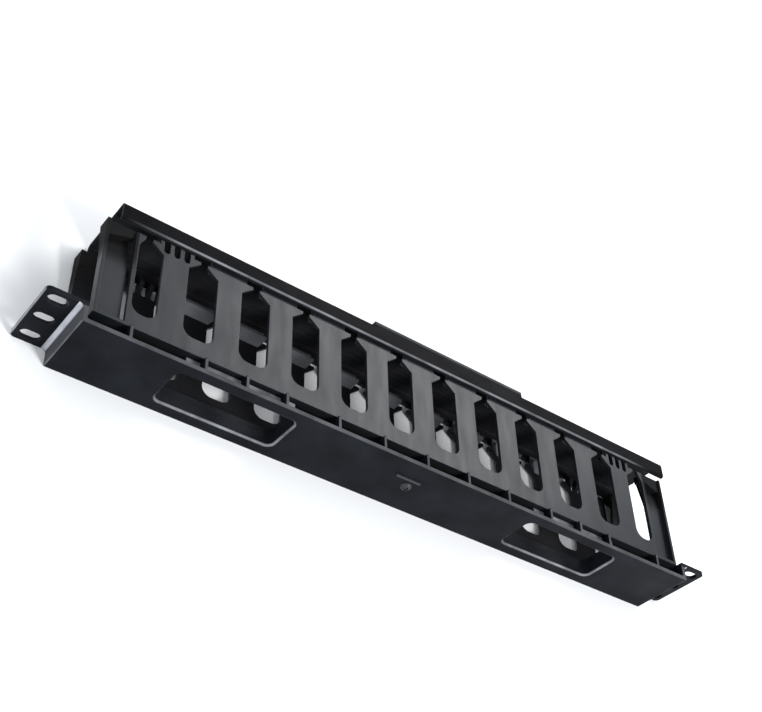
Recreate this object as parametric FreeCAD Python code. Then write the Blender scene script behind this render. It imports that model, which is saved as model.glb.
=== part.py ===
"""Horizontal cable manager for a 19 inch rack, one rack unit high.

Three mouldings make it up: a rear panel with the rack ears, a finger duct that sits in the
panel's tray, and a front cover that clips over the finger heads and slides along them.
One screw in the middle of the rear panel holds the duct.

Frame: millimetres, +Z up, the front is -Y, +X is to the right seen from the front.
The origin is the middle of the mounting plane, where the ears meet the rack rails (Y = 0).
"""
import FreeCAD, Part
import math
import os

V = FreeCAD.Vector
FULL_ROUND = 0.999          # share of half a width that a full round end takes

# ---------------------------------------------------------------- rack interface
HOLE_SPAN_X = 465.1         # between the left and the right column of slots
HOLE_PITCH_Z = 15.875       # between neighbouring slots of one ear
UNIT_HEIGHT = 43.6          # one rack unit less its clearance
EAR_EDGE = 8.75             # from a slot's centre to the ear's outer edge
EAR_INSET = 11.85           # and to the step wall
EAR_SLOT_LENGTH = 11.5
EAR_SLOT_HEIGHT = 7.0
EAR_THICKNESS = 2.5
EAR_CORNER_RADIUS = 3.0
RACK_WIDTH = HOLE_SPAN_X + 2 * EAR_EDGE

# ---------------------------------------------------------------- rear panel (tray)
TRAY_DEPTH = 10.6           # from the mounting plane back to the rear face
PLATE_THICKNESS = 2.5
STEP_WALL = 2.5
STEP_OUTER_RADIUS = 1.0     # rear edge of the step wall
STEP_INNER_RADIUS = 3.0     # hollow corner between ear and step wall
RIB_THICKNESS = 1.6
MIDDLE_RIBS_X = (31.4, 63.4)    # ribs from edge to edge, mirrored about the middle
END_RIB_INSET = 21.5        # from the duct's end to the outermost rib
COLLAR_RIB_PITCH = 25.6     # between the three short ribs that stand on a collar
SHORT_RIB_LENGTH = 9.8      # short rib at each long edge, at the middle
TRAY_WIDTH = HOLE_SPAN_X - 2 * EAR_INSET

# ---------------------------------------------------------------- finger duct
DUCT_END_GAP = 2.7          # between the duct's end and the step wall
DUCT_WALL = 2.0
FLOOR_THICKNESS = 2.0
FLOOR_CORNER_RADIUS = 1.5   # hollow corner inside the duct
WALL_REACH = 66.8           # from the mounting plane forward to the front of the heads
SLOT_COUNT = 12
FINGER_WIDTH = 15.76
END_ZONE = 8.14             # from the end of the slot pattern to the duct's end
SLOT_FLOOR = 10.5           # from the mounting plane forward to the slot floor
SLOT_CORNER_RADIUS = 6.5
HEAD_GAP = 4.5              # between the tips of two neighbouring heads
HEAD_LENGTH = 7.9           # from the shoulder, where a head starts to widen, to its front
HEAD_TIP_LENGTH = 1.9       # from its full width to its front
DUCT_LENGTH = TRAY_WIDTH - 2 * (STEP_WALL + DUCT_END_GAP)
SLOT_PITCH = (DUCT_LENGTH - 2 * END_ZONE) / SLOT_COUNT
SLOT_WIDTH = SLOT_PITCH - FINGER_WIDTH

# ---------------------------------------------------------------- front cover
COVER_SHORT = 2.0           # the cover is shorter than the duct by this at each end
COVER_SHIFT = -5.2          # the cover stands a little towards -X on the heads
COVER_WALL = 1.8
COVER_GAP = 4.4             # between the front of the heads and the skirts' rear edges
COVER_DEPTH = 12.0
COVER_CORNER_RADIUS = 3.0
SKIRT_EDGE_RADIUS = 1.6     # outer rounding of a skirt's rear edge
LIP_EDGE_RADIUS = 0.5       # and of the lip inside it
LIP_LENGTH = 0.9            # inward lip along that edge
LIP_CLEARANCE = 0.35        # between the lip and a tongue
BEAD_GAP = 0.3              # between the lip's front and a tongue's bead
BEAD_CLEARANCE = 0.4        # between a bead and the inside of the skirt
INNER_RIB_Z = (6.0, 11.0)   # low stiffening ribs inside the cover, mirrored
INNER_RIB_WIDTH = 1.2
INNER_RIB_HEIGHT = 0.5
PULL_LENGTH = 120.6         # raised finger pull along the upper front edge
PULL_CENTRE_X = -24.3
PULL_HEIGHT = 4.5
PULL_PROUD = 2.6
PULL_RADIUS = 0.8
COVER_LENGTH = DUCT_LENGTH - 2 * COVER_SHORT
COVER_REAR = WALL_REACH + COVER_GAP
COVER_FRONT = COVER_REAR + COVER_DEPTH
DUCT_HEIGHT = UNIT_HEIGHT - 2 * COVER_WALL      # walls in line with the inside of the skirts

# ---------------------------------------------------------------- heads of the fingers
HOOK_LENGTH = 5.2           # the hook inside a head starts this far behind its front
HOOK_PROUD = 2.0            # and ends this far before it
HOOK_HEIGHT = 4.5           # how far a hook stands into the duct
HOOK_CREST = 0.8            # length of its flat top
TONGUE_WIDTH = 23.4         # hook front and tongue
TONGUE_THICKNESS = 1.6
TONGUE_INSET = 1.5          # tongue face inside the wall face
BEAD_LENGTH = 1.4           # bead along the tongue's front edge
NOTCHED_WIDTH = 21.0        # the outermost heads reach further and are notched
NOTCHED_PROUD = 2.6
NOTCH_COUNT = 3
NOTCH_PITCH = 6.3
NOTCH_WIDTH = 3.8
NOTCH_LENGTH = 5.6          # from the notch floor to the front of the other heads
TONGUE_REACH = COVER_REAR + LIP_LENGTH + BEAD_GAP + BEAD_LENGTH

# ---------------------------------------------------------------- ends of the finger walls
END_SLOT_LOSS = 3.88        # the outermost slot is narrower by this, at its outer side
END_STRIP = 2.4             # strip beside that slot
END_SLIT = 1.4              # slit between strip and end plate
END_POST = 1.8              # post at each end of a finger wall
END_POST_DEPTH = 5.0
END_PLATE_SINK = 3.4        # the end plate's face inside the wall face
END_PLATE_LEAN = 24.4       # length of the front part, which leans into the duct
END_PLATE_FRONT_SINK = 7.4  # its face inside the wall face at the front
END_PLATE_RADIUS = 14.0     # of the bend
END_BLOCK_POST = 11.0       # length of the end block at the post
END_BLOCK_STRIP = 5.2       # and at the strip
END_BLOCK_SINK = 1.5        # the end block's face inside the wall face
END_PROUD = 1.2             # end block and post reach this far before the heads
END_REACH = WALL_REACH + END_PROUD
OUTER_SLOT_EDGE = DUCT_LENGTH / 2 - END_ZONE - FINGER_WIDTH / 2 - END_SLOT_LOSS

# ---------------------------------------------------------------- cable pass-throughs
PASS_INSET = 54.05          # from the duct's end to the opening
PASS_WIDTH = 74.5
PASS_HEIGHT = 27.2
PASS_CORNER_RADIUS = 4.0
PASS_LIP_RADIUS = 1.8       # rounded rear rim of the opening
COLLAR_WALL = 2.0
SPIGOT_WALL = 1.1           # thin front end of the collar, it enters the duct floor
SPIGOT_START = 3.0          # the wall thins this far behind the mounting plane
FIT_CLEARANCE = 0.25        # between a spigot and its opening in the duct floor
PASS_CENTRE_X = DUCT_LENGTH / 2 - PASS_INSET - PASS_WIDTH / 2

# ---------------------------------------------------------------- centre screw
SCREW_DIAMETER = 3.5
SCREW_LENGTH = 9.0          # under the head
SCREW_HEAD_DIAMETER = 7.2
SCREW_HEAD_HEIGHT = 2.2
DRIVE_SPAN = 4.0            # cross recess, tip to tip
DRIVE_WIDTH = 0.9
DRIVE_DEPTH = 1.3
SCREW_CLEARANCE = 0.3       # all round the shank
PILOT_EXTRA = 1.0           # the boss is bored this much deeper than the screw
BOSS_WALL = 2.15            # boss behind the duct floor that takes the screw
LEDGE_WIDTH = 17.4          # raised ledge above the screw head
LEDGE_CENTRE_X = 3.7
LEDGE_Z = 7.8
LEDGE_THICKNESS = 1.2
LEDGE_PROUD = 1.0


# ================================================================ helpers
def rounded_wire(corners, lift=0.0):
    """Closed wire in XY through (x, y, radius) corners, each rounded by a tangent arc."""
    count = len(corners)
    ends = []
    for i, (x, y, radius) in enumerate(corners):
        here = V(x, y, lift)
        before = V(corners[i - 1][0], corners[i - 1][1], lift)
        after = V(corners[(i + 1) % count][0], corners[(i + 1) % count][1], lift)
        to_before = (before - here).normalize()
        to_after = (after - here).normalize()
        if radius <= 0:
            ends.append((here, None, here))
            continue
        half = to_before.getAngle(to_after) / 2
        run = radius / math.tan(half)
        middle = (to_before + to_after).normalize()
        top = here + middle * (radius / math.sin(half) - radius)
        ends.append((here + to_before * run, top, here + to_after * run))
    edges = []
    for i, (start, top, end) in enumerate(ends):
        if top is not None:
            edges.append(Part.Arc(start, top, end).toShape())
        following = ends[(i + 1) % count][0]
        if end.distanceToPoint(following) > 1e-6:
            edges.append(Part.makeLine(end, following))
    return Part.Wire(edges)


def plate_xy(corners, z_low, z_high):
    """Solid with its outline in XY, from z_low up to z_high."""
    return Part.Face(rounded_wire(corners, z_low)).extrude(V(0, 0, z_high - z_low))


def bar_along_x(section, x_low, x_high):
    """Solid with its (y, z, radius) section in YZ, from x_low to x_high."""
    shape = Part.Face(rounded_wire(section)).extrude(V(0, 0, x_high - x_low))
    shape.rotate(V(0, 0, 0), V(1, 1, 1), 120)     # X -> Y, Y -> Z, Z -> X
    shape.translate(V(x_low, 0, 0))
    return shape


def block(x, y, z):
    """Box from three (low, high) pairs."""
    return Part.makeBox(x[1] - x[0], y[1] - y[0], z[1] - z[0], V(x[0], y[0], z[0]))


def rounded_block(width, height, radius, y_low, y_high):
    """Box with its four edges along Y rounded, centred on the Y axis."""
    w, h = width / 2, height / 2
    outline = [(-w, -h, radius), (w, -h, radius), (w, h, radius), (-w, h, radius)]
    shape = Part.Face(rounded_wire(outline)).extrude(V(0, 0, y_high - y_low))
    shape.rotate(V(0, 0, 0), V(1, 0, 0), 90)      # Y -> Z, Z -> -Y
    shape.translate(V(0, y_high, 0))
    return shape


def moved(shape, x=0.0, y=0.0, z=0.0):
    copy = shape.copy()
    copy.translate(V(x, y, z))
    return copy


def mirrored_places(values):
    """Each distance on both sides of the middle."""
    return sorted(side * value for value in values for side in (-1, 1))


def slot_centres():
    return [(i - (SLOT_COUNT - 1) / 2) * SLOT_PITCH for i in range(SLOT_COUNT)]


# ================================================================ rear panel
def tray_section():
    """Ear, step wall, plate, step wall, ear: the panel's outline seen from above."""
    outer, wall, ear = TRAY_WIDTH / 2, TRAY_WIDTH / 2 - STEP_WALL, RACK_WIDTH / 2
    right = [
        (wall, TRAY_DEPTH - PLATE_THICKNESS, STEP_OUTER_RADIUS),
        (wall, -EAR_THICKNESS, STEP_OUTER_RADIUS),
        (ear, -EAR_THICKNESS, 0),
        (ear, 0, 0),
        (outer, 0, STEP_INNER_RADIUS),
        (outer, TRAY_DEPTH, STEP_OUTER_RADIUS),
    ]
    left = [(-x, y, radius) for x, y, radius in reversed(right)]
    return right + left


def ear_outline():
    """Slab as wide and high as the panel, its four outer corners rounded."""
    return rounded_block(RACK_WIDTH, UNIT_HEIGHT, EAR_CORNER_RADIUS,
                         -EAR_THICKNESS - 1, TRAY_DEPTH + 1)


def ear_slots():
    """The three rack slots of each ear."""
    end_radius = EAR_SLOT_HEIGHT / 2 * FULL_ROUND
    one = rounded_block(EAR_SLOT_LENGTH, EAR_SLOT_HEIGHT, end_radius, -EAR_THICKNESS - 1, 1)
    return [moved(one, side * HOLE_SPAN_X / 2, 0, row * HOLE_PITCH_Z)
            for side in (-1, 1) for row in (-1, 0, 1)]


def grown_opening(margin, y_low, y_high):
    """The pass-through's rounded outline, grown all round by a margin."""
    return rounded_block(PASS_WIDTH + 2 * margin, PASS_HEIGHT + 2 * margin,
                         PASS_CORNER_RADIUS + margin, y_low, y_high)


def pass_collar():
    """Collar round a pass-through, its front end thinned to a spigot."""
    outside = grown_opening(COLLAR_WALL, -FLOOR_THICKNESS, TRAY_DEPTH - PLATE_THICKNESS / 2)
    wider = grown_opening(COLLAR_WALL - SPIGOT_WALL, -FLOOR_THICKNESS - 1, SPIGOT_START)
    return outside.cut(wider)


def pass_rim():
    """What is cut away from the plate to round the rear rim of a pass-through."""
    slab = grown_opening(PASS_LIP_RADIUS, TRAY_DEPTH - PASS_LIP_RADIUS, TRAY_DEPTH + 1)
    plug = grown_opening(0, TRAY_DEPTH - PASS_LIP_RADIUS - 1, TRAY_DEPTH + 2)
    ring = grown_opening(PASS_LIP_RADIUS + 2, TRAY_DEPTH - 2 * PASS_LIP_RADIUS, TRAY_DEPTH)
    ring = ring.cut(plug)
    rim = [edge for edge in ring.Edges
           if abs(edge.BoundBox.YMin - TRAY_DEPTH) < 1e-4
           and abs(edge.BoundBox.YMax - TRAY_DEPTH) < 1e-4
           and edge.BoundBox.XMin > -PASS_WIDTH / 2 - 0.01
           and edge.BoundBox.XMax < PASS_WIDTH / 2 + 0.01
           and edge.BoundBox.ZMin > -PASS_HEIGHT / 2 - 0.01
           and edge.BoundBox.ZMax < PASS_HEIGHT / 2 + 0.01]
    return slab.cut(ring.makeFillet(PASS_LIP_RADIUS, rim))


def ribs():
    """Webs between the plate and the duct floor, flush with the plate's long edges."""
    depth = (0, TRAY_DEPTH - PLATE_THICKNESS / 2)
    edge = UNIT_HEIGHT / 2
    half = RIB_THICKNESS / 2
    long_ribs = mirrored_places(MIDDLE_RIBS_X + (DUCT_LENGTH / 2 - END_RIB_INSET,))
    webs = [block((x - half, x + half), depth, (-edge, edge)) for x in long_ribs]
    on_collar = [PASS_CENTRE_X + i * COLLAR_RIB_PITCH for i in (-1, 0, 1)]
    short = [(x, PASS_HEIGHT / 2 + COLLAR_WALL / 2) for x in mirrored_places(on_collar)]
    short.append((0, edge - SHORT_RIB_LENGTH))
    for x, start in short:
        webs.append(block((x - half, x + half), depth, (start, edge)))
        webs.append(block((x - half, x + half), depth, (-edge, -start)))
    return webs


def screw_ledge():
    """Raised ledge on the rear face, above the screw head."""
    half = LEDGE_WIDTH / 2
    return block((LEDGE_CENTRE_X - half, LEDGE_CENTRE_X + half),
                 (TRAY_DEPTH - PLATE_THICKNESS / 2, TRAY_DEPTH + LEDGE_PROUD),
                 (LEDGE_Z - LEDGE_THICKNESS, LEDGE_Z))


def rod(diameter, y_low, y_high):
    """Cylinder on the Y axis."""
    return Part.makeCylinder(diameter / 2, y_high - y_low, V(0, y_low, 0), V(0, 1, 0))


def rear_panel():
    half = UNIT_HEIGHT / 2
    panel = plate_xy(tray_section(), -half, half).common(ear_outline())
    collars = [moved(pass_collar(), side * PASS_CENTRE_X) for side in (-1, 1)]
    panel = panel.fuse(collars + ribs() + [screw_ledge()])
    bore = grown_opening(0, -FLOOR_THICKNESS - 1, TRAY_DEPTH + 1)
    cuts = [moved(tool, side * PASS_CENTRE_X) for tool in (bore, pass_rim()) for side in (-1, 1)]
    cuts.append(rod(SCREW_DIAMETER + 2 * SCREW_CLEARANCE, 0, TRAY_DEPTH + 1))
    return panel.cut(cuts + ear_slots()).removeSplitter()


# ================================================================ finger duct
def duct_section():
    """U section of the duct: floor on the mounting plane, walls reaching forward."""
    outer, inner = DUCT_HEIGHT / 2, DUCT_HEIGHT / 2 - DUCT_WALL
    upper = [
        (-FLOOR_THICKNESS, inner, FLOOR_CORNER_RADIUS),
        (-WALL_REACH, inner, 0),
        (-WALL_REACH, outer, 0),
        (0, outer, 0),
    ]
    lower = [(y, -z, radius) for y, z, radius in reversed(upper)]
    return upper + lower


def slot_outline(centre):
    """One cable slot: round floor corners, sloped shoulders, a narrow mouth at the front."""
    left = max(centre - SLOT_WIDTH / 2, -OUTER_SLOT_EDGE)
    right = min(centre + SLOT_WIDTH / 2, OUTER_SLOT_EDGE)
    corner = min(SLOT_CORNER_RADIUS, (right - left) / 2 * FULL_ROUND)
    tip = HEAD_GAP / 2
    shoulder, widest = -WALL_REACH + HEAD_LENGTH, -WALL_REACH + HEAD_TIP_LENGTH
    front = -WALL_REACH - 1
    return [
        (left, -SLOT_FLOOR, corner),
        (left, shoulder, 0),
        (centre - tip, widest, 0),
        (centre - tip, front, 0),
        (centre + tip, front, 0),
        (centre + tip, widest, 0),
        (right, shoulder, 0),
        (right, -SLOT_FLOOR, corner),
    ]


def hook_section():
    """Ramped hook, tongue in front of it, bead that the cover's lip clips behind."""
    wall = DUCT_HEIGHT / 2
    start, end = -WALL_REACH + HOOK_LENGTH, -WALL_REACH - HOOK_PROUD
    crest = wall - DUCT_WALL - HOOK_HEIGHT
    face = wall - TONGUE_INSET
    back = face - TONGUE_THICKNESS
    bead_top = UNIT_HEIGHT / 2 - COVER_WALL - BEAD_CLEARANCE
    bead = -TONGUE_REACH + BEAD_LENGTH
    return [
        (start, face, 0),
        (start, wall - DUCT_WALL, 0),
        (end + HOOK_CREST, crest, 0),
        (end, crest, 0),
        (end, back, 0),
        (-TONGUE_REACH, back, 0),
        (-TONGUE_REACH, face, 0),
        (bead - BEAD_LENGTH / 2, bead_top, 0),
        (bead, bead_top, 0),
        (bead, face, 0),
    ]


def head_hook():
    """Hook and tongue, as wide as the finger at the root and widening with the head."""
    root, half = FINGER_WIDTH / 2, TONGUE_WIDTH / 2
    start, front = -WALL_REACH + HOOK_LENGTH, -TONGUE_REACH - 1
    outline = [(-root, start, 0), (root, start, 0), (half, -WALL_REACH, 0),
               (half, front, 0), (-half, front, 0), (-half, -WALL_REACH, 0)]
    plan = plate_xy(outline, 0, UNIT_HEIGHT / 2)
    return bar_along_x(hook_section(), -half, half).common(plan)


def notch_outline(x):
    """One U notch, its round floor in the head and its mouth at the front."""
    half = NOTCH_WIDTH / 2
    front = -TONGUE_REACH - 1
    floor, round_floor = -WALL_REACH + NOTCH_LENGTH, half * FULL_ROUND
    return [
        (x - half, floor, round_floor),
        (x - half, front, 0),
        (x + half, front, 0),
        (x + half, floor, round_floor),
    ]


def notched_places():
    """Middle of the outermost whole finger on each side."""
    return [side * (SLOT_COUNT / 2 - 1) * SLOT_PITCH for side in (-1, 1)]


def finger_places():
    return [(i - SLOT_COUNT / 2) * SLOT_PITCH for i in range(1, SLOT_COUNT)]


def wall_fingers():
    """What the upper wall gains: hooks with tongues, and the taller heads."""
    outer = DUCT_HEIGHT / 2
    hook = head_hook()
    gains = [moved(hook, x) for x in finger_places()]
    for x in notched_places():
        gains.append(block((x - NOTCHED_WIDTH / 2, x + NOTCHED_WIDTH / 2),
                           (-WALL_REACH - NOTCHED_PROUD, -WALL_REACH + 1),
                           (outer - DUCT_WALL, outer)))
    return gains


def end_plate_section():
    """Plate set back from the wall, its front part leaning into the duct."""
    face = DUCT_HEIGHT / 2 - END_PLATE_SINK
    front_face = DUCT_HEIGHT / 2 - END_PLATE_FRONT_SINK
    rear, front = -FLOOR_THICKNESS / 2, -END_REACH
    bend = front + END_PLATE_LEAN
    return [
        (rear, face, 0),
        (rear, face - DUCT_WALL, 0),
        (bend, face - DUCT_WALL, END_PLATE_RADIUS - DUCT_WALL),
        (front, front_face - DUCT_WALL, 0),
        (front, front_face, 0),
        (bend, face, END_PLATE_RADIUS),
    ]


def wall_ends(side):
    """End plate, post and end block at one end of the upper wall."""
    outer = DUCT_HEIGHT / 2
    end = DUCT_LENGTH / 2
    strip = OUTER_SLOT_EDGE + END_STRIP
    post = end - END_POST

    def across(low, high):
        return sorted((side * low, side * high))

    outline = [(side * strip, -END_REACH + END_BLOCK_STRIP, 0),
               (side * end, -END_REACH + END_BLOCK_POST, 0),
               (side * end, -END_REACH, 0), (side * strip, -END_REACH, 0)]
    low = outer - END_PLATE_FRONT_SINK - DUCT_WALL / 2
    return [
        bar_along_x(end_plate_section(), *across(strip + END_SLIT, end)),
        block(across(post, end), (-END_REACH, -FLOOR_THICKNESS / 2),
              (outer - END_POST_DEPTH, outer)),
        plate_xy(outline, low, outer - END_BLOCK_SINK),
    ]


def wall_openings():
    """What the upper wall loses: the slots, and all of it beyond the end strips."""
    low, high = DUCT_HEIGHT / 2 - DUCT_WALL - FLOOR_CORNER_RADIUS, DUCT_HEIGHT / 2 + 1
    losses = [plate_xy(slot_outline(centre), low, high) for centre in slot_centres()]
    strip, beyond = OUTER_SLOT_EDGE + END_STRIP, DUCT_LENGTH / 2 + 1
    for side in (-1, 1):
        losses.append(block(sorted((side * strip, side * beyond)),
                            (-WALL_REACH - 1, -FLOOR_THICKNESS), (low, high)))
    return losses


def notches():
    """Three U notches through each outermost head, its hook and its tongue."""
    low, high = DUCT_HEIGHT / 2 - DUCT_WALL - HOOK_HEIGHT - 1, DUCT_HEIGHT / 2 + 1
    first = -(NOTCH_COUNT - 1) / 2
    return [plate_xy(notch_outline(x + (first + i) * NOTCH_PITCH), low, high)
            for x in notched_places() for i in range(NOTCH_COUNT)]


def both_walls(shapes):
    """The upper wall's shapes and their mirror images for the lower wall."""
    return shapes + [shape.mirror(V(0, 0, 0), V(0, 0, 1)) for shape in shapes]


def finger_duct():
    half = DUCT_LENGTH / 2
    duct = bar_along_x(duct_section(), -half, half)
    openings = [moved(grown_opening(COLLAR_WALL + FIT_CLEARANCE, -FLOOR_THICKNESS - 1, 1),
                      side * PASS_CENTRE_X) for side in (-1, 1)]
    duct = duct.cut(both_walls(wall_openings()) + openings)
    ends = wall_ends(-1) + wall_ends(1)
    boss = rod(SCREW_DIAMETER + 2 * (SCREW_CLEARANCE + BOSS_WALL),
               -FLOOR_THICKNESS / 2, TRAY_DEPTH - PLATE_THICKNESS)
    duct = duct.fuse(both_walls(wall_fingers() + ends) + [boss])
    pilot = rod(SCREW_DIAMETER + 2 * SCREW_CLEARANCE,
                TRAY_DEPTH - SCREW_LENGTH - PILOT_EXTRA, TRAY_DEPTH)
    return duct.cut(both_walls(notches()) + [pilot]).removeSplitter()


# ================================================================ centre screw
def centre_screw():
    """Pan head screw, driven from the rear through the plate into the duct's boss."""
    radius = SCREW_HEAD_DIAMETER / 2
    crown = (radius ** 2 + SCREW_HEAD_HEIGHT ** 2) / (2 * SCREW_HEAD_HEIGHT)
    ball = Part.makeSphere(crown, V(0, TRAY_DEPTH + SCREW_HEAD_HEIGHT - crown, 0))
    head = rod(SCREW_HEAD_DIAMETER, TRAY_DEPTH, TRAY_DEPTH + SCREW_HEAD_HEIGHT).common(ball)
    shank = rod(SCREW_DIAMETER, TRAY_DEPTH - SCREW_LENGTH, TRAY_DEPTH)
    span, width = DRIVE_SPAN / 2, DRIVE_WIDTH / 2
    depth = (TRAY_DEPTH + SCREW_HEAD_HEIGHT - DRIVE_DEPTH, TRAY_DEPTH + SCREW_HEAD_HEIGHT + 1)
    drive = [block((-span, span), depth, (-width, width)),
             block((-width, width), depth, (-span, span))]
    return head.fuse(shank).cut(drive).removeSplitter()


# ================================================================ front cover
def cover_section():
    """Shallow channel, open to the rear, with an inward lip on each skirt."""
    outer = UNIT_HEIGHT / 2
    inner = outer - COVER_WALL
    lip = DUCT_HEIGHT / 2 - TONGUE_INSET + LIP_CLEARANCE
    front = -COVER_FRONT + COVER_WALL
    upper = [
        (front, inner, COVER_CORNER_RADIUS - COVER_WALL),
        (-COVER_REAR - LIP_LENGTH, inner, 0),
        (-COVER_REAR - LIP_LENGTH, lip, 0),
        (-COVER_REAR, lip, LIP_EDGE_RADIUS),
        (-COVER_REAR, outer, SKIRT_EDGE_RADIUS),
        (-COVER_FRONT, outer, COVER_CORNER_RADIUS),
    ]
    lower = [(y, -z, radius) for y, z, radius in reversed(upper)]
    return upper + lower


def pull_section():
    """Raised bar along the upper front edge."""
    top = UNIT_HEIGHT / 2
    front = -COVER_FRONT - PULL_PROUD
    root = -COVER_FRONT + COVER_CORNER_RADIUS
    return [
        (root, top, 0),
        (front, top, PULL_RADIUS),
        (front, top - PULL_HEIGHT, PULL_RADIUS),
        (root, top - PULL_HEIGHT, 0),
    ]


def front_cover():
    half = COVER_LENGTH / 2
    channel = bar_along_x(cover_section(), COVER_SHIFT - half, COVER_SHIFT + half)
    cavity = block((COVER_SHIFT - half - 1, COVER_SHIFT + half + 1),
                   (-COVER_FRONT + COVER_WALL, 0),
                   (-UNIT_HEIGHT / 2 + COVER_WALL, UNIT_HEIGHT / 2 - COVER_WALL))
    pull = bar_along_x(pull_section(), PULL_CENTRE_X - PULL_LENGTH / 2,
                       PULL_CENTRE_X + PULL_LENGTH / 2).cut(cavity)
    inside = -COVER_FRONT + COVER_WALL
    strengthening = [block((COVER_SHIFT - half, COVER_SHIFT + half),
                           (inside - COVER_WALL / 2, inside + INNER_RIB_HEIGHT),
                           (z - INNER_RIB_WIDTH / 2, z + INNER_RIB_WIDTH / 2))
                     for z in mirrored_places(INNER_RIB_Z)]
    return channel.fuse([pull] + strengthening).removeSplitter()


# ================================================================ files
def main():
    pieces = {
        "rear_panel": rear_panel(),
        "finger_duct": finger_duct(),
        "front_cover": front_cover(),
        "centre_screw": centre_screw(),
    }
    os.makedirs("parts", exist_ok=True)
    for name, shape in pieces.items():
        shape.exportStep(os.path.join("parts", name + ".step"))


main()
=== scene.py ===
"""Looks of the horizontal cable manager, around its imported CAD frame."""
import bpy
from mathutils import Matrix, Vector


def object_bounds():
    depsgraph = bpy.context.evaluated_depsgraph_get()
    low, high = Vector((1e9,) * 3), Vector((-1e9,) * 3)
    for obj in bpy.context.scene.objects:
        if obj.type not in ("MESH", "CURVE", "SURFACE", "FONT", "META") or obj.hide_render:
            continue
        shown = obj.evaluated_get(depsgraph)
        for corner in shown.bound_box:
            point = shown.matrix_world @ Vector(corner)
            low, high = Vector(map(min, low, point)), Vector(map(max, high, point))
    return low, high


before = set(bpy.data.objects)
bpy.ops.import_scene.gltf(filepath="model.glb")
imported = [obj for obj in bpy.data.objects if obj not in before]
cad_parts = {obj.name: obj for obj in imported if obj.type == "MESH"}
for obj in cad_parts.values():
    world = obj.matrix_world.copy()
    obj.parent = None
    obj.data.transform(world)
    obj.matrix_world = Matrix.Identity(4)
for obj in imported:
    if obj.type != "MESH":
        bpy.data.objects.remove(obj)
CAD_BOX = [list(corner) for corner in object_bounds()]

# ---------------------------------------------------------------- camera
CAMERA_PLACE = Vector((0.3878, 0.4199, 0.4649))
CAMERA_RIGHT = Vector((-0.79312, 0.02461, 0.60856))
CAMERA_UP = Vector((0.37770, -0.76398, 0.52314))
CAMERA_BACK = Vector((0.47781, 0.64477, 0.59664))
LENS_MM = 58.33
SENSOR_MM = 36.0


def add_camera():
    """Camera behind the part and above its end, that looks down on the rear panel."""
    data = bpy.data.cameras.new("camera")
    data.lens = LENS_MM
    data.sensor_width = SENSOR_MM
    data.sensor_fit = "HORIZONTAL"
    data.clip_start = 0.01
    data.clip_end = 50.0
    camera = bpy.data.objects.new("camera", data)
    turn = Matrix((CAMERA_RIGHT, CAMERA_UP, CAMERA_BACK)).transposed()
    camera.matrix_world = Matrix.Translation(CAMERA_PLACE) @ turn.to_4x4()
    bpy.context.collection.objects.link(camera)
    bpy.context.scene.camera = camera


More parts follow.
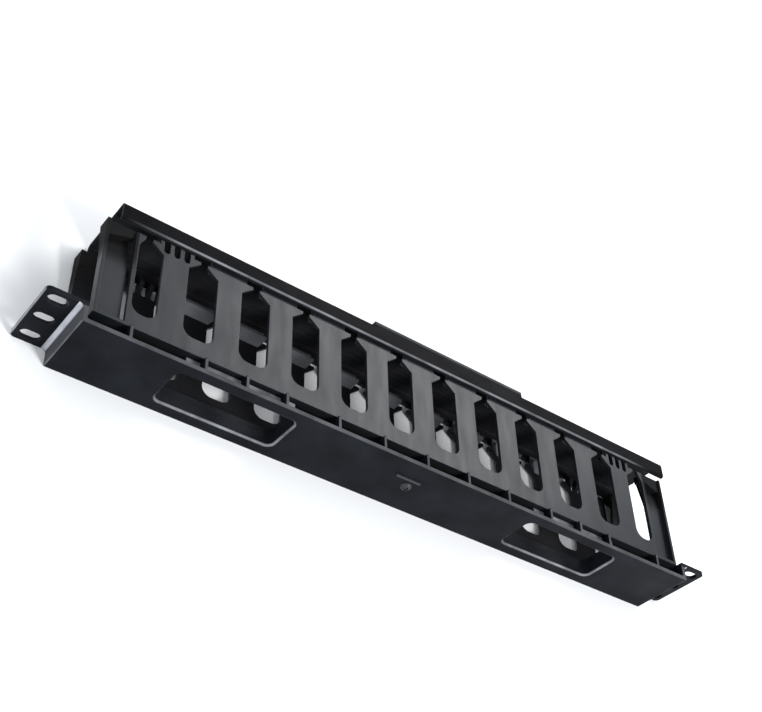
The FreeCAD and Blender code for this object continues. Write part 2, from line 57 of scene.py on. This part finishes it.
# ---------------------------------------------------------------- node recipes
class Recipe:
    """A material under construction: each method adds nodes and returns the socket it made."""

    def __init__(self, name):
        self.material = bpy.data.materials.new(name)
        self.material.use_nodes = True
        self.tree = self.material.node_tree
        self.shader = self.tree.nodes["Principled BSDF"]

    def add(self, kind):
        return self.tree.nodes.new(kind)

    def feed(self, socket, value):
        """Links a socket to another, or sets it to a number or colour."""
        if isinstance(value, bpy.types.NodeSocket):
            self.tree.links.new(value, socket)
        elif isinstance(value, tuple):
            socket.default_value = value + (1,)
        else:
            socket.default_value = value

    def math(self, operation, first, second=0.0):
        node = self.add("ShaderNodeMath")
        node.operation = operation
        self.feed(node.inputs[0], first)
        self.feed(node.inputs[1], second)
        return node.outputs[0]

    def all_of(self, *masks):
        """Product of the masks."""
        product = masks[0]
        for mask in masks[1:]:
            product = self.math("MULTIPLY", product, mask)
        return product

    def position(self):
        """The part's own coordinates, in metres."""
        split = self.add("ShaderNodeSeparateXYZ")
        self.feed(split.inputs[0], self.add("ShaderNodeTexCoord").outputs["Object"])
        return split.outputs["X"], split.outputs["Y"], split.outputs["Z"]

    def place(self):
        """Distance from the middle lengthwise, depth, and distance up or down, in metres."""
        x, y, z = self.position()
        return self.math("ABSOLUTE", x), y, self.math("ABSOLUTE", z)

    def noise(self, scale, detail, stretch=(1, 1, 1)):
        """Noise in object space, the scale in cells per metre."""
        mapping = self.add("ShaderNodeMapping")
        mapping.inputs["Scale"].default_value = stretch
        texture = self.add("ShaderNodeTexNoise")
        texture.inputs["Scale"].default_value = scale
        texture.inputs["Detail"].default_value = detail
        self.feed(mapping.inputs["Vector"], self.add("ShaderNodeTexCoord").outputs["Object"])
        self.feed(texture.inputs["Vector"], mapping.outputs["Vector"])
        return texture.outputs["Fac"]

    def ramp(self, source, low, high, start=0.3, stop=0.7):
        """Colour from low to high as the source goes from start to stop."""
        node = self.add("ShaderNodeValToRGB")
        for element, position, colour in zip(node.color_ramp.elements, (start, stop), (low, high)):
            element.position = position
            element.color = colour + (1,)
        self.feed(node.inputs["Fac"], source)
        return node.outputs["Color"]

    def length(self, first, second):
        """Length of the vector with these two parts."""
        return self.math("SQRT", self.math("ADD", self.math("MULTIPLY", first, first),
                                           self.math("MULTIPLY", second, second)))

    def over(self, mask, below, above):
        """Colour that goes from below to above with the mask."""
        node = self.add("ShaderNodeMix")
        node.data_type = "RGBA"
        self.feed(node.inputs["Factor"], mask)
        self.feed(node.inputs[6], below)
        self.feed(node.inputs[7], above)
        return node.outputs[2]

    def fade(self, source, start, stop):
        """Mask from 0 at start to 1 at stop."""
        node = self.add("ShaderNodeMapRange")
        node.interpolation_type = "SMOOTHSTEP"
        self.feed(node.inputs["Value"], source)
        node.inputs["From Min"].default_value = start
        node.inputs["From Max"].default_value = stop
        return node.outputs["Result"]

    def soft_edges(self, radius):
        """Rounded-over normal, and a mask that is 1 along sharp edges.

        The mask follows the cosine of the angle between that normal and the plain one.
        """
        bevel = self.add("ShaderNodeBevel")
        bevel.samples = EDGE_SAMPLES
        bevel.inputs["Radius"].default_value = radius
        turn = self.add("ShaderNodeVectorMath")
        turn.operation = "DOT_PRODUCT"
        self.feed(turn.inputs[0], bevel.outputs["Normal"])
        self.feed(turn.inputs[1], self.add("ShaderNodeNewGeometry").outputs["Normal"])
        return bevel.outputs["Normal"], self.fade(turn.outputs["Value"], *EDGE_TURN)


# ---------------------------------------------------------------- plastic
GRAIN_CELLS = 2600.0            # eroded grain of the moulds, cells per metre
GRAIN_DEPTH = 0.00005
GRAIN_STRENGTH = 0.3
CLOUD_CELLS = 45.0              # cloudy colour
WEAR_CELLS = 260.0              # breaks in the paler edges
WEAR_LEAST = 0.25               # share of the paler colour that is left in them
GLOSS_CELLS = 150.0             # uneven gloss
GLOSS_LESS = 0.05               # how far the roughness goes below the plastic's own
GLOSS_MORE = 0.06               # and above it
MATT = 0.85                     # roughness where the gloss is lost
EDGE_RADIUS = 0.0004            # how far a sharp edge is seen rounded over
EDGE_TURN = (0.995, 0.85)       # cosines between which an edge is painted paler, partly for wear and partly as painted highlight
EDGE_SAMPLES = 6
ALONG_X = (0.3, 1, 1)           # stretch lengthwise
ALONG_Y = (1, 0.2, 1)           # from back to front
ALONG_Z = (1, 1, 0.4)           # and upright

# Places on the part, in metres. Lengthwise and up or down, they are distances from the middle.
EAR_END = 0.2413                # outer end of an ear
STEP_CORNER = (0.2237, 0.0030)  # axis of the hollow corner between ear and step wall
STEP_RADIUS = 0.0030
STEP_EAR_SIDE = (0.0012, 0.0022)    # towards the ear from that axis: no painted highlight, and all of it
STEP_WALL_FACE = 0.2207         # outer face of the step wall
STEP_EDGE = (0.2197, 0.0096)    # axis of the rounded rear edge of the step wall
STEP_EDGE_RADIUS = 0.0010
PLATE_REAR = 0.0106             # depth of the rear plate's rear face
PLATE_EDGE = 0.0218             # height of its long edges
PASS_CENTRE = 0.1242            # middle of a pass-through
PASS_HALF_WIDTH = 0.03725
PASS_HALF_HEIGHT = 0.0136
PASS_CORNER_RADIUS = 0.0040
PASS_RIM_RADIUS = 0.0018
COLLAR_OUTSIDE = 0.0156         # height of the collars' outer faces
COLLAR_ENDS = (0.084, 0.164)    # just past their ends
COLLAR_REAR = 0.0076            # depth just in front of the rear plate
DUCT_INSIDE = 0.0180            # height of the duct walls' inner faces
DUCT_END = 0.1962               # just past the outermost slots, where the duct's ends begin
DUCT_END_SHADE = (-0.035, -0.052)   # depths between which the ends darken, behind their blocks
HEAD_SHOULDER = -0.0580         # depth just behind the widening of the finger heads
HOOK_RAMP = -0.0622             # depth just past the foot of the ramps behind the heads
LAST_HEAD = 0.157               # just past the last head before the notched ones
SKIRT_EDGE = (-0.0728, 0.0202)  # axis of the rounded rear edge of a skirt
SKIRT_EDGE_RADIUS = 0.0016
SKIRT_HIGHLIGHT_SPAN = (0.21, 0.16)       # no painted highlight on that edge past the first, full highlight within the second
COVER_INSIDE = (-0.0815, 0.0201)    # depth and height just outside the cover's inner faces
COVER_FRONT = -0.0832           # only the finger pull is further forward

# Colours, wear, dust and painted light. A blotchy mark has its blotches per metre, its darkest
# grey and its palest.
# grey of painted light on the hollow corner, the step wall's face and the ledge
PAINTED_LIGHT_GREY = (0.050, 0.052, 0.058)
# painted shade inside the duct
INSIDE_SHADE = (0.0045, 0.0047, 0.0055)
# painted shade on the end blocks under the cover
END_BLOCK_SHADE = (0.0030, 0.0031, 0.0035)
# painted highlight on the ears' outer ends
EAR_END_HIGHLIGHT = (90.0, 0.12, 0.30)
# painted highlight in the hollow corner
CORNER_HIGHLIGHT = (160.0, 0.26, 0.55)
# painted highlight on the step wall's rear edge
STEP_EDGE_HIGHLIGHT = (120.0, 0.06, 0.13)
# painted sheen on the rear plate's long edges
LONG_RIM_SHEEN = (70.0, 0.035, 0.075)
# painted highlight on the pass-through rims
PASS_RIM_HIGHLIGHT = (90.0, 0.09, 0.24)
# painted sheen on the collars' outer faces
COLLAR_SHEEN = (70.0, 0.10, 0.30)
# painted light on the hooks
HOOK_LIGHT = (60.0, 0.06, 0.12)
# painted highlight on the skirts' rear edges
SKIRT_EDGE_HIGHLIGHT = (60.0, 0.08, 0.19)
DUST = (70.0, 0.010, 0.020)
PULL_WEAR = (80.0, 0.034, 0.052)
HALFWAY_ROUND = (0.20, 0.45)    # product of sine and cosine; 0.5 is halfway round an edge
HIGHLIGHT_SIDE = (0.9, -0.7)           # sideways plus upward where the painted highlight is nil, and where it is full
HAIR = 0.0001                   # metres: masks start, stop and fade in steps of it


def moulded_plastic(name, dark, light, rough, specular, edge_wear_and_highlight, flow, places, matt=None):
    """Satin black moulding: cloudy colour, fine grain, uneven gloss and paler edges, partly wear
    and partly painted highlight.

    flow stretches the uneven gloss: the plastic flowed along the axis with the least factor.
    Each of the places is a function that takes the recipe and gives a mask and its colour,
    and matt is one that gives the mask of where the gloss is lost.
    """
    recipe = Recipe(name)
    shader = recipe.shader
    shader.inputs["Specular IOR Level"].default_value = specular
    rounded, edges = recipe.soft_edges(EDGE_RADIUS)
    colour = recipe.ramp(recipe.noise(CLOUD_CELLS, detail=6.0), dark, light)
    patchy = recipe.ramp(recipe.noise(WEAR_CELLS, detail=3.0), (WEAR_LEAST,) * 3, (1.0,) * 3)
    # paler sharp edges: partly wear, partly painted highlight
    colour = recipe.over(recipe.math("MULTIPLY", edges, patchy), colour, edge_wear_and_highlight)
    for place in places:
        mask, other = place(recipe)
        colour = recipe.over(mask, colour, other)
    recipe.feed(shader.inputs["Base Color"], colour)
    gloss = recipe.ramp(recipe.noise(GLOSS_CELLS, detail=4.0, stretch=flow),
                        (rough - GLOSS_LESS,) * 3, (rough + GLOSS_MORE,) * 3)
    if matt:
        gloss = recipe.over(matt(recipe), gloss, (MATT,) * 3)
    recipe.feed(shader.inputs["Roughness"], gloss)
    bump = recipe.add("ShaderNodeBump")
    bump.inputs["Strength"].default_value = GRAIN_STRENGTH
    bump.inputs["Distance"].default_value = GRAIN_DEPTH
    recipe.feed(bump.inputs["Height"], recipe.noise(GRAIN_CELLS, detail=2.0))
    recipe.feed(bump.inputs["Normal"], rounded)
    recipe.feed(shader.inputs["Normal"], bump.outputs["Normal"])
    return recipe.material


def bulge(recipe, first, second, axis, radius):
    """Mask of a rounded edge, strongest halfway round it.

    first and second grow outwards across the edge, and axis is the centre of the rounding.
    """
    run = recipe.math("DIVIDE", recipe.math("SUBTRACT", first, axis[0]), radius)
    rise = recipe.math("DIVIDE", recipe.math("SUBTRACT", second, axis[1]), radius)
    halfway = recipe.fade(recipe.math("MULTIPLY", run, rise), *HALFWAY_ROUND)
    return recipe.all_of(halfway, recipe.math("GREATER_THAN", run),
                         recipe.math("GREATER_THAN", rise))


def bluish(grey):
    return (grey, grey * 1.03, grey * 1.12)


def blotchy(recipe, wear, stretch=(1, 1, 1)):
    """Bluish grey in blotches."""
    cells, darkest, palest = wear
    return recipe.ramp(recipe.noise(cells, detail=4.0, stretch=stretch),
                       bluish(darkest), bluish(palest))


def highlit_corner(recipe):
    """Hollow corner between ear and step wall, with a painted highlight, brightest on the ear's
    side.
    """
    x, y, _ = recipe.place()
    run = recipe.math("SUBTRACT", STEP_CORNER[0], x)
    rise = recipe.math("SUBTRACT", STEP_CORNER[1], y)
    away = recipe.length(run, rise)
    mask = recipe.all_of(recipe.math("LESS_THAN", away, STEP_RADIUS + 2 * HAIR),
                         recipe.math("GREATER_THAN", away, STEP_RADIUS - 2 * HAIR),
                         recipe.math("GREATER_THAN", run), recipe.math("GREATER_THAN", rise))
    near_ear = recipe.fade(rise, *STEP_EAR_SIDE)
    return mask, recipe.over(near_ear, PAINTED_LIGHT_GREY, blotchy(recipe, CORNER_HIGHLIGHT, ALONG_Z))


def lit_step_wall(recipe):
    """Outer face of the step wall, painted lighter as a lit face."""
    x, y, _ = recipe.place()
    mask = recipe.all_of(recipe.fade(x, STEP_WALL_FACE - 3 * HAIR, STEP_WALL_FACE - HAIR),
                         recipe.fade(x, STEP_WALL_FACE + 2 * HAIR, STEP_WALL_FACE + HAIR),
                         recipe.fade(y, STEP_CORNER[1] - 2 * HAIR, STEP_CORNER[1]))
    return mask, PAINTED_LIGHT_GREY


def highlit_ear_ends(recipe):
    """Outer ends of the ears, with a painted highlight."""
    x, _, _ = recipe.place()
    return recipe.fade(x, EAR_END - 6 * HAIR, EAR_END - 2 * HAIR), blotchy(recipe, EAR_END_HIGHLIGHT)


def highlit_step_edge(recipe):
    """Rounded rear edge of the step wall, with a painted highlight."""
    x, y, _ = recipe.place()
    return bulge(recipe, x, y, STEP_EDGE, STEP_EDGE_RADIUS), blotchy(recipe, STEP_EDGE_HIGHLIGHT)


def sheen_on_long_rims(recipe):
    """Long edges of the rear plate, and of the ribs that end flush with them, with a painted
    sheen.
    """
    _, y, z = recipe.place()
    mask = recipe.all_of(recipe.fade(z, PLATE_EDGE - 4 * HAIR, PLATE_EDGE - HAIR),
                         recipe.fade(y, 2 * HAIR, 6 * HAIR))
    return mask, blotchy(recipe, LONG_RIM_SHEEN)


def highlit_pass_rims(recipe):
    """Rounded rear rims of the pass-throughs, with a painted highlight that is strongest on the
    side the light falls on.
    """
    x, y, z = recipe.position()
    off_centre = recipe.math("SUBTRACT", recipe.math("ABSOLUTE", x), PASS_CENTRE)
    run = recipe.math("SUBTRACT", recipe.math("ABSOLUTE", off_centre),
                      PASS_HALF_WIDTH - PASS_CORNER_RADIUS)
    rise = recipe.math("SUBTRACT", recipe.math("ABSOLUTE", z),
                       PASS_HALF_HEIGHT - PASS_CORNER_RADIUS)
    round_corner = recipe.length(recipe.math("MAXIMUM", run), recipe.math("MAXIMUM", rise))
    straight = recipe.math("MINIMUM", recipe.math("MAXIMUM", run, rise))
    outside = recipe.math("SUBTRACT", recipe.math("ADD", round_corner, straight),
                          PASS_CORNER_RADIUS)
    inward = recipe.math("SUBTRACT", PASS_RIM_RADIUS, outside)
    rim = bulge(recipe, inward, y, (0.0, PLATE_REAR - PASS_RIM_RADIUS), PASS_RIM_RADIUS)
    # Sideways and up or down from the opening's centre, each from -1 to 1 over the opening.
    sideways = recipe.math("DIVIDE", recipe.math("MULTIPLY", recipe.math("SIGN", x), off_centre),
                           PASS_HALF_WIDTH)
    upward = recipe.math("DIVIDE", z, PASS_HALF_HEIGHT)
    highlight_side = recipe.fade(recipe.math("ADD", sideways, upward), *HIGHLIGHT_SIDE)
    return recipe.all_of(rim, highlight_side), blotchy(recipe, PASS_RIM_HIGHLIGHT)


def sheen_on_collars(recipe):
    """Outer faces of the collars, seen in the gap behind the duct, with a painted sheen."""
    x, y, z = recipe.place()
    start, stop = COLLAR_ENDS
    soft = 40 * HAIR
    mask = recipe.all_of(recipe.fade(z, COLLAR_OUTSIDE - 2 * HAIR, COLLAR_OUTSIDE - HAIR),
                         recipe.fade(z, COLLAR_OUTSIDE + 4 * HAIR, COLLAR_OUTSIDE + 2 * HAIR),
                         recipe.fade(y, COLLAR_REAR, COLLAR_REAR - 8 * HAIR),
                         recipe.fade(x, start - soft, start), recipe.fade(x, stop + soft, stop))
    return mask, blotchy(recipe, COLLAR_SHEEN)


def highlit_ledge(recipe):
    """Ledge above the centre screw, with a painted highlight."""
    _, y, _ = recipe.place()
    return recipe.fade(y, PLATE_REAR + HAIR, PLATE_REAR + 2 * HAIR), PAINTED_LIGHT_GREY


def inside_duct(recipe):
    """Mask of the duct's inner faces, short of the end plates."""
    x, _, z = recipe.place()
    return recipe.all_of(recipe.fade(z, DUCT_INSIDE + HAIR, DUCT_INSIDE),
                         recipe.fade(x, DUCT_END, DUCT_END - 5 * HAIR))


def shaded_inside(recipe):
    """Inner faces of the duct, darkened with painted shade."""
    return inside_duct(recipe), INSIDE_SHADE


def lit_hooks(recipe):
    """Ramped hooks behind the finger heads, painted lighter where light falls on them."""
    x, y, z = recipe.place()
    mask = recipe.all_of(recipe.fade(y, HEAD_SHOULDER, HOOK_RAMP),
                         recipe.fade(x, LAST_HEAD + 30 * HAIR, LAST_HEAD),
                         recipe.fade(z, DUCT_INSIDE - HAIR, DUCT_INSIDE - 3 * HAIR))
    return mask, blotchy(recipe, HOOK_LIGHT)


def on_end_block(recipe):
    """Mask of the duct's ends, that grows towards the blocks at their front."""
    x, y, _ = recipe.place()
    return recipe.all_of(recipe.fade(x, DUCT_END - 4 * HAIR, DUCT_END + 6 * HAIR),
                         recipe.fade(y, *DUCT_END_SHADE))


def shaded_end_blocks(recipe):
    """Blocks at the front of the duct's ends, under the cover, darkened with painted shade."""
    return on_end_block(recipe), END_BLOCK_SHADE


def matt_duct(recipe):
    """Mask of where the duct has kept the dull surface of the mould."""
    return recipe.math("MAXIMUM", inside_duct(recipe), on_end_block(recipe))


def highlit_skirt_edges(recipe):
    """Rounded rear edges of the cover's skirts, with a painted highlight that fades towards the
    cover's ends.
    """
    x, y, z = recipe.place()
    mask = bulge(recipe, y, z, SKIRT_EDGE, SKIRT_EDGE_RADIUS)
    return recipe.all_of(mask, recipe.fade(x, *SKIRT_HIGHLIGHT_SPAN)), blotchy(recipe, SKIRT_EDGE_HIGHLIGHT)


def dusty_inside(recipe):
    """Inner faces of the cover, where fine dust stays."""
    _, y, z = recipe.place()
    front, side = COVER_INSIDE
    mask = recipe.all_of(recipe.fade(y, front - HAIR, front),
                         recipe.fade(z, side + 2 * HAIR, side))
    return mask, blotchy(recipe, DUST)


def rubbed_pull(recipe):
    """Finger pull on the cover, polished by use."""
    _, y, _ = recipe.place()
    return recipe.fade(y, COVER_FRONT, COVER_FRONT - 2 * HAIR), blotchy(recipe, PULL_WEAR)


# ---------------------------------------------------------------- screw
SCREW_CELLS = 900.0             # blotches of the plating, per metre
SCREW_METALLIC = 0.5
SCREW_DARK = (0.015, 0.015, 0.016)
SCREW_LIGHT = (0.045, 0.045, 0.050)
SCREW_ROUGH = (0.45, 0.65)


def dark_metal(name):
    """Black zinc on a small screw, worn a little."""
    recipe = Recipe(name)
    recipe.shader.inputs["Metallic"].default_value = SCREW_METALLIC
    blotches = recipe.noise(SCREW_CELLS, detail=4.0)
    recipe.feed(recipe.shader.inputs["Base Color"],
                recipe.ramp(blotches, SCREW_DARK, SCREW_LIGHT))
    least, most = SCREW_ROUGH
    recipe.feed(recipe.shader.inputs["Roughness"],
                recipe.ramp(blotches, (least,) * 3, (most,) * 3))
    return recipe.material


# ---------------------------------------------------------------- looks of the pieces
def dress_nodes():
    """Gives each piece of the CAD its material."""
    panel = moulded_plastic(
        "panel_plastic", dark=(0.0040, 0.0046, 0.0062), light=(0.0095, 0.0108, 0.0142),
        rough=0.42, specular=0.035, edge_wear_and_highlight=(0.035, 0.037, 0.042), flow=ALONG_X,
        places=(highlit_ear_ends, lit_step_wall, highlit_corner, highlit_step_edge,
                sheen_on_long_rims, highlit_pass_rims, sheen_on_collars, highlit_ledge))
    duct = moulded_plastic(
        "duct_plastic", dark=(0.0055, 0.0070, 0.0095), light=(0.0110, 0.0132, 0.0168),
        rough=0.36, specular=0.16, edge_wear_and_highlight=(0.050, 0.051, 0.055), flow=ALONG_Y,
        places=(shaded_inside, shaded_end_blocks, lit_hooks), matt=matt_duct)
    cover = moulded_plastic(
        "cover_plastic", dark=(0.0040, 0.0040, 0.0045), light=(0.0070, 0.0070, 0.0080),
        rough=0.40, specular=0.012, edge_wear_and_highlight=(0.024, 0.024, 0.026), flow=ALONG_X,
        places=(dusty_inside, highlit_skirt_edges, rubbed_pull))
    looks = {"rear_panel": panel, "finger_duct": duct, "front_cover": cover,
             "centre_screw": dark_metal("screw_metal")}
    for node, material in looks.items():
        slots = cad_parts[node].data.materials
        for i in range(len(slots)):
            slots[i] = material


# ---------------------------------------------------------------- floor and light
FLOOR_REACH = 6.0               # from the middle to each side, in metres
FLOOR_GAP = 0.0003
FLOOR_CELLS = 3.0
FLOOR_DARK = (0.80, 0.81, 0.82)
FLOOR_LIGHT = (0.84, 0.845, 0.85)
FLOOR_ROUGHNESS = 0.9
SKY_COLOUR = (0.93, 0.96, 1.0, 1)
SKY_STRENGTH = 0.88


def add_floor():
    """Pale floor just under the lowest point of the part."""
    reach = FLOOR_REACH
    z = CAD_BOX[0][2] - FLOOR_GAP
    mesh = bpy.data.meshes.new("floor")
    corners = [(-reach, -reach, z), (reach, -reach, z), (reach, reach, z), (-reach, reach, z)]
    mesh.from_pydata(corners, [], [(0, 1, 2, 3)])
    floor = bpy.data.objects.new("floor", mesh)
    bpy.context.collection.objects.link(floor)
    recipe = Recipe("floor_paint")
    recipe.feed(recipe.shader.inputs["Base Color"],
                recipe.ramp(recipe.noise(FLOOR_CELLS, detail=3.0), FLOOR_DARK, FLOOR_LIGHT))
    recipe.shader.inputs["Roughness"].default_value = FLOOR_ROUGHNESS
    mesh.materials.append(recipe.material)


def add_area_light(name, place, target, width, height, power):
    """Lamp with a rectangular face that points at its target. Metres and watts."""
    data = bpy.data.lights.new(name, "AREA")
    data.shape = "RECTANGLE"
    data.size = width
    data.size_y = height
    data.energy = power
    light = bpy.data.objects.new(name, data)
    place, target = Vector(place), Vector(target)
    turn = (place - target).to_track_quat("Z", "Y")
    light.matrix_world = Matrix.Translation(place) @ turn.to_matrix().to_4x4()
    bpy.context.collection.objects.link(light)


def add_lights():
    """Three lamps and an even sky."""
    add_area_light("sheen", (-0.58, -0.84, 0.82), (0, -0.03, 0), width=0.7, height=0.5, power=10)
    add_area_light("key", (-1.50, 1.90, 2.00), (0, 0, 0), width=1.0, height=1.0, power=90)
    add_area_light("side", (1.2, 0.5, 0.25), (0.2, 0, 0), width=0.5, height=0.4, power=5)
    world = bpy.data.worlds.new("studio")
    world.use_nodes = True
    background = world.node_tree.nodes["Background"]
    background.inputs["Color"].default_value = SKY_COLOUR
    background.inputs["Strength"].default_value = SKY_STRENGTH
    bpy.context.scene.world = world


# ---------------------------------------------------------------- all of it
add_camera()
dress_nodes()
add_floor()
add_lights()
bpy.context.scene.view_settings.view_transform = "Standard"
